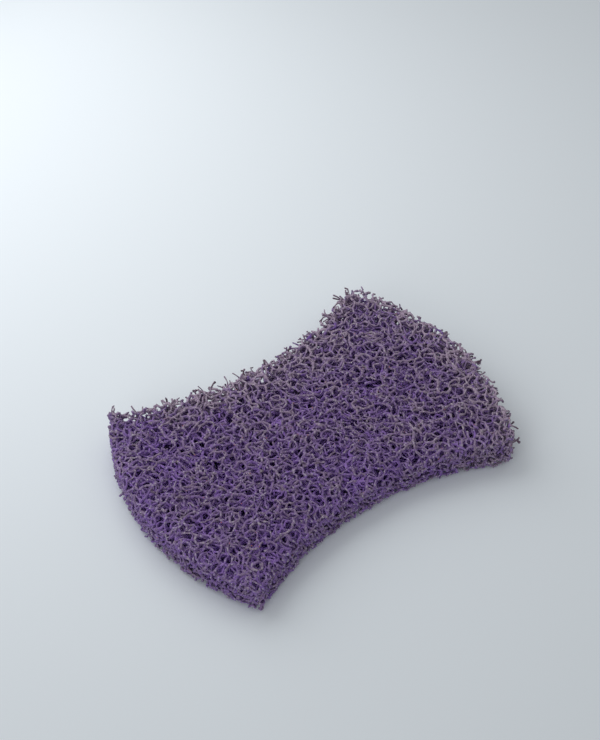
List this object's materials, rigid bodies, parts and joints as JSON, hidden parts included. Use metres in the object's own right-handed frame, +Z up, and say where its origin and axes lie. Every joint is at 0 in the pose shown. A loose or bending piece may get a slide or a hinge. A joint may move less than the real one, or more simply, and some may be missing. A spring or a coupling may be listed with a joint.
{
  "type": "abrasive hand pad",
  "caption": "Waisted hand pad of coarse open-web abrasive, with bowed ends and hollow sides, for scouring and stripping surfaces by hand.",
  "frame": {"origin": "middle of the lower face, on the surface that the pad lies on", "axes": "+X along the pad's length, +Y across its waist, +Z up through its thickness"},
  "size_m": [0.114, 0.0786, 0.0128],
  "materials": {
    "abrasive_web": "matt purple resin-bonded fibre web with mineral grit"
  },
  "bodies": {
    "root": {"abrasive_pad": "abrasive_web"}
  },
  "joints": []
}
